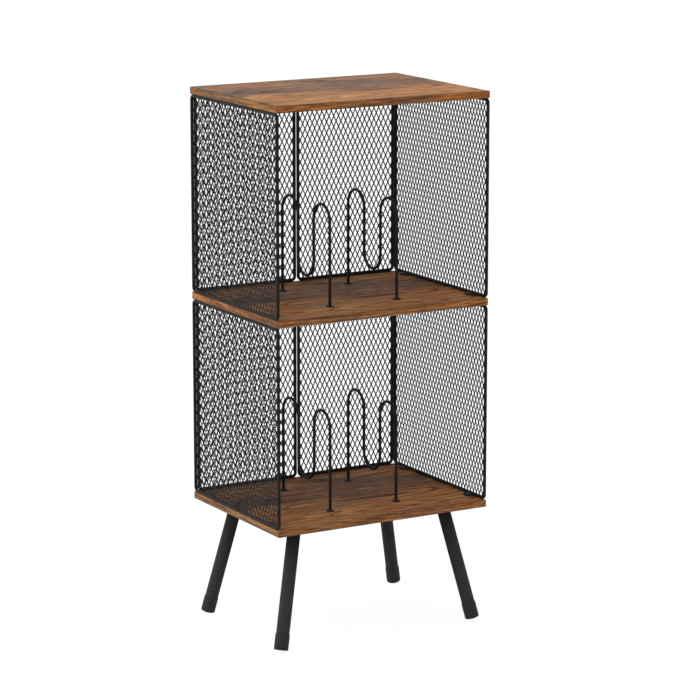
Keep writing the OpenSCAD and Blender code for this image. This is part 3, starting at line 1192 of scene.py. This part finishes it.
# %% [markdown]
# ### Screws
#
# The screws and bolts have a low pan head with a cross recess. The head's dome is an arc of
# the outline, and the recess is pressed by a cross of two wedges that narrow downwards, as
# the driver's bit does. The lower part of the shank is threaded, where it may show past a nut.


# %% Screws
SHANK = 2 * MM
ROOT = 0.82
THREAD_PITCH = 0.8 * MM
THREADED = 6 * MM
HEAD_HEIGHT = 2.4 * MM
PAN_HEAD = ((1, 0.3), (0.96, 0.52), (0.86, 0.74), (0.66, 0.92), (0.3, 1))

# Shares of the shank at a screw's tip, of the head in its cross, and of the cross at its end
TIP = 0.35
CROSS_REACH = 0.6
CROSS_WIDTH = 0.3
CROSS_DEPTH = 0.62
BIT_TAPER = 0.45


def cross_bit(reach, width, depth):
    """Two crossed blades that narrow downwards from z = 0."""
    blades = []
    for turn in (0, QUARTER):
        clear_bench()
        bpy.ops.mesh.primitive_cube_add(size=1, location=(0, 0, 0), rotation=(0, 0, turn),
                                        scale=(2 * reach, width, 2 * depth))
        blade = started("blade")
        open_up(blade)
        pick("FACE", lambda face: level_face(face) and face.normal.z < 0)
        bpy.ops.transform.resize(value=(BIT_TAPER, BIT_TAPER, 1), center_override=(0, 0, -depth))
        clear_bench()
        blades.append(blade)
    return blades


def pan_screw(head, length, threaded):
    """A pan head screw that stands on its tip at z = 0, with a thread on its lower part."""
    outline = [(SHANK * TIP, 0), (SHANK * ROOT, THREAD_PITCH)]
    height = THREAD_PITCH
    while height + THREAD_PITCH < threaded:
        outline += [(SHANK, height + THREAD_PITCH / 2), (SHANK * ROOT, height + THREAD_PITCH)]
        height += THREAD_PITCH
    outline += [(SHANK, height + THREAD_PITCH / 2), (SHANK, length), (head, length)]
    outline += [(head * share, length + HEAD_HEIGHT * rise) for share, rise in PAN_HEAD]
    piece = turned("screw", outline, sides=28)
    blades = cross_bit(head * CROSS_REACH, head * CROSS_WIDTH, HEAD_HEIGHT * CROSS_DEPTH)
    for blade in blades:
        put(blade, (0, 0, length + HEAD_HEIGHT))
    cut_away(piece, *blades)
    shade_round(piece, degrees=32)
    return piece


def board_screw(size):
    return pan_screw(size.x / 2, size.z - HEAD_HEIGHT, THREADED)


def tab_nut(size):
    return nut(size.y, SHANK, size.z)


for node, hangs in (("top_tab_screws", True), ("middle_tab_bolts", False),
                    ("bottom_tab_screws", False), ("leg_screws", True)):
    set_out(node, board_screw, FASTENER_ZINC, upside_down=hangs)
set_out("middle_tab_nuts", tab_nut, FASTENER_ZINC)

# %% [markdown]
# ## Legs
#
# A leg is a steel tube, cut at a slant and welded to a square plate, with a plastic cap on
# its foot. The tube is turned upright and laid along the leg's axis, which leans outwards
# from the middle of its plate. A cut level with the plate mitres its top, and the two rings
# of the cut are bridged. The weld is a thin ring, stretched as far as the lean stretches the
# joint, whose every second ring of corners is swelled into the ripples that a weld leaves.

# %% Leg plates
PLATE_CORNER = 8 * MM
PLATE_HOLE = 2.2 * MM
PLATE_RIM = 0.5 * MM
DRILL_LENGTH = 10 * MM
DRILL_SIDES = 20


def leg_plate(node):
    """A square plate with rounded corners and a screw hole in each."""
    low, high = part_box(node)
    clear_bench()
    bpy.ops.mesh.primitive_cube_add(size=1, location=(low + high) / 2, scale=high - low)
    piece = started(node)
    open_up(piece)
    pick("EDGE", lambda edge: abs(edge.verts[0].co.z - edge.verts[1].co.z) > WELD)
    bpy.ops.mesh.bevel(offset=PLATE_CORNER, segments=8, affect="EDGES")
    pick("EDGE", lambda edge: abs(middle(edge).z - low.z) < WELD)
    bpy.ops.mesh.bevel(offset=PLATE_RIM, segments=2, affect="EDGES")
    clear_bench()
    drills = []
    for side in (-1, 1):
        for end in (-1, 1):
            place = (low + high) / 2
            place.x += side * ((high.x - low.x) / 2 - PLATE_CORNER)
            place.y += end * ((high.y - low.y) / 2 - PLATE_CORNER)
            bpy.ops.mesh.primitive_cylinder_add(vertices=DRILL_SIDES, radius=PLATE_HOLE,
                                                depth=DRILL_LENGTH, location=place)
            drills.append(started("drill"))
    cut_away(piece, *drills)
    shade_flats(piece, largest_round_face=PLATE_RIM * 10 * MM)
    return hand_over(piece, node, TUBE_COAT)


# %% Leg tubes and foot caps
LEAN = math.radians(15)
LEAN_TURN = math.radians(35)
TUBE_RADIUS = 11.2 * MM
TUBE_WALL = 1.2 * MM
CAP_RADIUS = 12.1 * MM
CAP_LENGTH = 26.5 * MM
CAP_FLOOR = 5 * MM
CAP_ROUND = 1.5 * MM
CAP_LIP = 0.8 * MM
GROOVE_HEIGHT = 3.6 * MM
GROOVE_DEPTH = 0.5 * MM
CAP_ROOM = 0.1 * MM
CAP_CENTRE = 1 * MM
BEAD = 1.5 * MM
BEAD_STEPS = 64
BEAD_RIPPLE = 0.2 * MM


def lay_along_leg(piece, top, way, distance):
    """Lays an upright piece along a leg, with its origin at a distance down the axis."""
    return put(piece, top + way * distance, way.to_track_quat("Z", "Y").to_euler())


def leg_tube(node, top, way, length, plate_face):
    """A tube that starts above the plate's lower face, and is then cut level with it."""
    outline = [(TUBE_RADIUS - TUBE_WALL, -2 * TUBE_RADIUS), (TUBE_RADIUS, -2 * TUBE_RADIUS)]
    outline += [(TUBE_RADIUS, length), (TUBE_RADIUS - TUBE_WALL, length)]
    tube = lay_along_leg(turned(node, outline, sides=48, hollow=True), top, way, 0)
    open_up(tube)
    pick_all()
    bpy.ops.mesh.bisect(plane_co=(0, 0, plate_face), plane_no=(0, 0, 1), clear_outer=True)
    pick_rims()
    bpy.ops.mesh.bridge_edge_loops()
    close_up()
    return tube


def weld_bead(top, way, plate_face):
    """The rippled weld round the top of a tube."""
    clear_bench()
    bpy.ops.mesh.primitive_torus_add(major_radius=TUBE_RADIUS, minor_radius=BEAD,
                                     major_segments=BEAD_STEPS, minor_segments=10)
    bead = started("bead")
    open_up(bead)
    step = 2 * math.pi / BEAD_STEPS
    pick("VERT", lambda corner: round(math.atan2(corner.co.y, corner.co.x) / step) % 2 == 0)
    bpy.ops.transform.shrink_fatten(value=BEAD_RIPPLE)
    clear_bench()
    bead.scale = (1 / math.cos(LEAN), 1, 1)
    start = top + way * ((plate_face - top.z) / way.z)
    put(bead, start, (0, 0, math.atan2(way.y, way.x)))
    shade_round(bead, degrees=60)
    return bead


def foot_cap(node):
    """A foot cap that stands on its closed end at z = 0."""
    bore = TUBE_RADIUS + CAP_ROOM
    lip = CAP_LIP / 2
    outline = [(CAP_CENTRE, 0)]
    outline += arc(CAP_RADIUS - CAP_ROUND, CAP_ROUND, CAP_ROUND, 270, 360, steps=4)
    outline += [(CAP_RADIUS, GROOVE_HEIGHT - GROOVE_DEPTH)]
    outline += [(CAP_RADIUS - GROOVE_DEPTH, GROOVE_HEIGHT)]
    outline += [(CAP_RADIUS, GROOVE_HEIGHT + GROOVE_DEPTH), (CAP_RADIUS, CAP_LENGTH - CAP_LIP)]
    outline += arc(CAP_RADIUS - lip, CAP_LENGTH - lip, lip, 0, 90)
    outline += [(bore, CAP_LENGTH), (bore, CAP_FLOOR), (CAP_CENTRE, CAP_FLOOR)]
    return turned(node, outline, sides=64)


def leg(name, side, end):
    """A leg's plate, its tube with the weld, and its foot cap."""
    plate = leg_plate(name + "_plate")
    low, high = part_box(name + "_plate")
    top = Vector(((low.x + high.x) / 2, (low.y + high.y) / 2, high.z))
    sideways = math.sin(LEAN) * math.cos(LEAN_TURN)
    endways = math.sin(LEAN) * math.sin(LEAN_TURN)
    way = Vector((side * sideways, end * endways, -math.cos(LEAN)))
    rim_drop = CAP_ROUND + (CAP_RADIUS - CAP_ROUND) * math.sin(LEAN)
    leg_length = CAP_ROUND + (top.z - rim_drop) / math.cos(LEAN)
    tube = leg_tube(name, top, way, leg_length - CAP_FLOOR, low.z)
    tube = joined(name, [tube, weld_bead(top, way, low.z)])
    hand_over(tube, name + "_tube", TUBE_COAT)
    cap = lay_along_leg(foot_cap(name), top, -way, -leg_length)
    hand_over(cap, name + "_cap", FOOT_PLASTIC)
    print(name, "is", round(leg_length / MM, 1), "mm long along its axis")


for end_name, end in (("front", -1), ("back", 1)):
    for side_name, side in (("left", -1), ("right", 1)):
        leg(f"{end_name}_{side_name}_leg", side, end)

# %% [markdown]
# ## What stays as it was cut
#
# The pins that hold the back panels sit between a wire and a board, almost out of sight.
# Their solids are right as they are and get the wire's coat.

# %% Pins
for panel in BACK_PANELS:
    slots = nodes[panel + "_pins"].material_slots
    for slot in slots:
        slot.material = WIRE_COAT
    print(panel, "pins:", len(slots), "finish")

# %% [markdown]
# ## The studio
#
# The picture is a product shot: a white floor that runs out of sight, soft light from all
# round, a large soft lamp high above the back and a smaller one on the left. White comes
# from what the camera sees of the floor and the world, and the lamps only have to light the
# stand evenly. The floor still takes the stand's shadow. Seen from below it is clear, so that
# the underside can be looked at.

# %% Floor
FLOOR_SIZE = 60.0
PAPER = (0.8, 0.8, 0.8, 1.0)
GLOW_SHARE = 0.8
GLOW = 1.14


def seen_straight(finish):
    """1 where a ray comes from the camera, a shiny surface or glass, and 0 elsewhere."""
    kinds = ("Camera", "Glossy", "Transmission")
    rays = [finish.node("LightPath", output=f"Is {kind} Ray") for kind in kinds]
    either = finish.maths("MAXIMUM", rays[0], rays[1])
    return finish.maths("MAXIMUM", either, rays[2])


def white_floor():
    """White paper, mostly glowing where it is seen straight, and clear from below."""
    finish = Finish("studio_floor")
    paper = finish.node("BsdfDiffuse", {}, {"Color": PAPER})
    glow = finish.node("Emission", {}, {"Color": (1, 1, 1, 1), "Strength": GLOW})
    seen = finish.node("MixShader", {}, {0: seen_straight(finish) * GLOW_SHARE, 1: paper, 2: glow})
    clear = finish.node("BsdfTransparent")
    below = finish.node("NewGeometry", output="Backfacing")
    return finish.ended(finish.node("MixShader", {}, {0: below, 1: seen, 2: clear}))


clear_bench()
bpy.ops.mesh.primitive_plane_add(size=FLOOR_SIZE)
floor = started("floor")
floor.data.materials.append(white_floor())
floor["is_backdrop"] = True
print("the floor is", FLOOR_SIZE, "m wide")

# %% World
AMBIENT = 0.71

sky = Finish("studio", bpy.data.worlds)
strength = sky.node("MapRange", {}, {"Value": seen_straight(sky), "To Min": AMBIENT, "To Max": 1.0})
background = sky.node("Background", {}, {"Color": (1, 1, 1, 1), "Strength": strength})
bpy.context.scene.world = sky.ended(background, "OutputWorld")
print("the room lights the stand at", AMBIENT, "of white")


# %% Lamps
def soft_lamp(name, place, target, size, watts):
    """Hangs a square lamp that looks at its target."""
    data = bpy.data.lights.new(name, "AREA")
    data.shape = "SQUARE"
    data.size = size
    data.energy = watts
    lamp = bpy.data.objects.new(name, data)
    lamp.location = place
    lamp.rotation_euler = (Vector(target) - Vector(place)).to_track_quat("-Z", "Y").to_euler()
    bpy.context.scene.collection.objects.link(lamp)


HEART = (0, 0, 0.5)

# Each lamp's place and size in metres, and its power in watts
LAMPS = {
    "key_lamp": ((-0.6, 1.2, 3.0), 2.6, 25),
    "fill_lamp": ((-2.6, 0.9, 1.8), 1.6, 20),
}
for name, (place, size, watts) in LAMPS.items():
    soft_lamp(name, place, HEART, size, watts)
    print(name, watts, "W")

# %% [markdown]
# ## The camera
#
# The photograph was taken from the left and a little above, through a long lens: the uprights
# stay parallel and the far side is hardly smaller than the near one. The place, the turn and
# the lens were found by fitting the boards' corners.

# %% Camera
CAMERA_PLACE = (-2.4924, -4.3286, 1.5108)
CAMERA_TURN = 30.14
CAMERA_TILT = 11.83
LENS = 155.97
SENSOR = 36.0

data = bpy.data.cameras.new("camera")
data.sensor_width = SENSOR
data.lens = LENS
camera = bpy.data.objects.new("camera", data)
camera.location = CAMERA_PLACE
camera.rotation_euler = (math.radians(90 - CAMERA_TILT), 0, math.radians(-CAMERA_TURN))
bpy.context.scene.collection.objects.link(camera)
bpy.context.scene.camera = camera
bpy.context.scene.view_settings.view_transform = "Standard"
print("the camera is", round(camera.location.length, 2), "m from the stand's foot")

# %% [markdown]
# ## Measure
#
# The dressed stand is measured at the end, and its box and its number of triangles are printed.

# %% Measure
clear_bench()
low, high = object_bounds()
shown = [piece for piece in bpy.data.objects if piece.name.endswith(SHOWN)]
triangles = sum(len(face.vertices) - 2 for piece in shown for face in piece.data.polygons)
print("the dressed stand spans", [round(size / MM, 1) for size in high - low], "mm")
print(len(shown), "pieces are new, with", triangles, "triangles")
